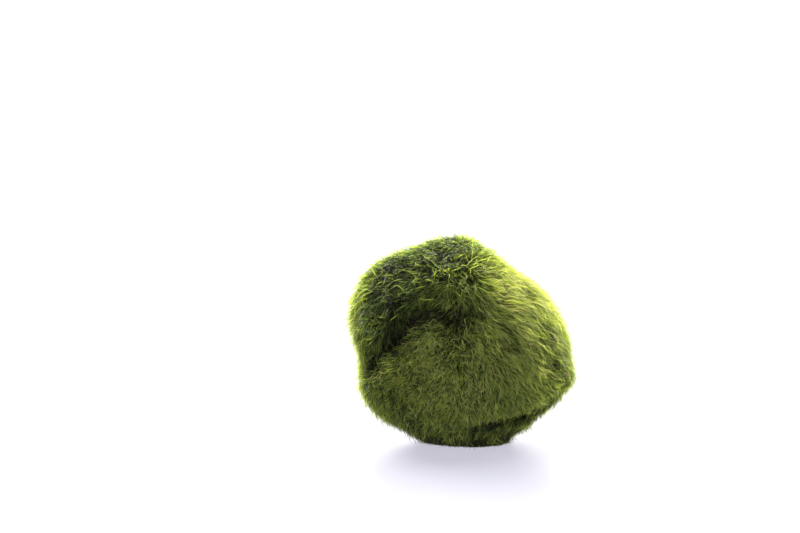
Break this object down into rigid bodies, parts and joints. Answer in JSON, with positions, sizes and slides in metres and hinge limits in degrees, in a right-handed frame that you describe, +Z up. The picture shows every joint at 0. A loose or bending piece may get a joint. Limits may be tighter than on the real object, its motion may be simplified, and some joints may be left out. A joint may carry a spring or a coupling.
{
  "type": "marimo moss ball",
  "caption": "Ball of felted green algal filaments, slightly lopsided, with a fold and a dimple in front and a small flat spot below that it rests on.",
  "frame": {"origin": "on the ground under the middle of the ball's box", "axes": "+Z up from the flat spot, +X along the ball's greatest width, towards the blunt nub; the front, with the dark dimple, faces -Y"},
  "size_m": [0.0488, 0.0464, 0.0453],
  "materials": {
    "moss_felt": "damp felt of fine green algal filaments, dull, brighter yellow-green at the tips"
  },
  "bodies": {
    "root": {"moss_ball": "moss_felt"}
  },
  "joints": []
}
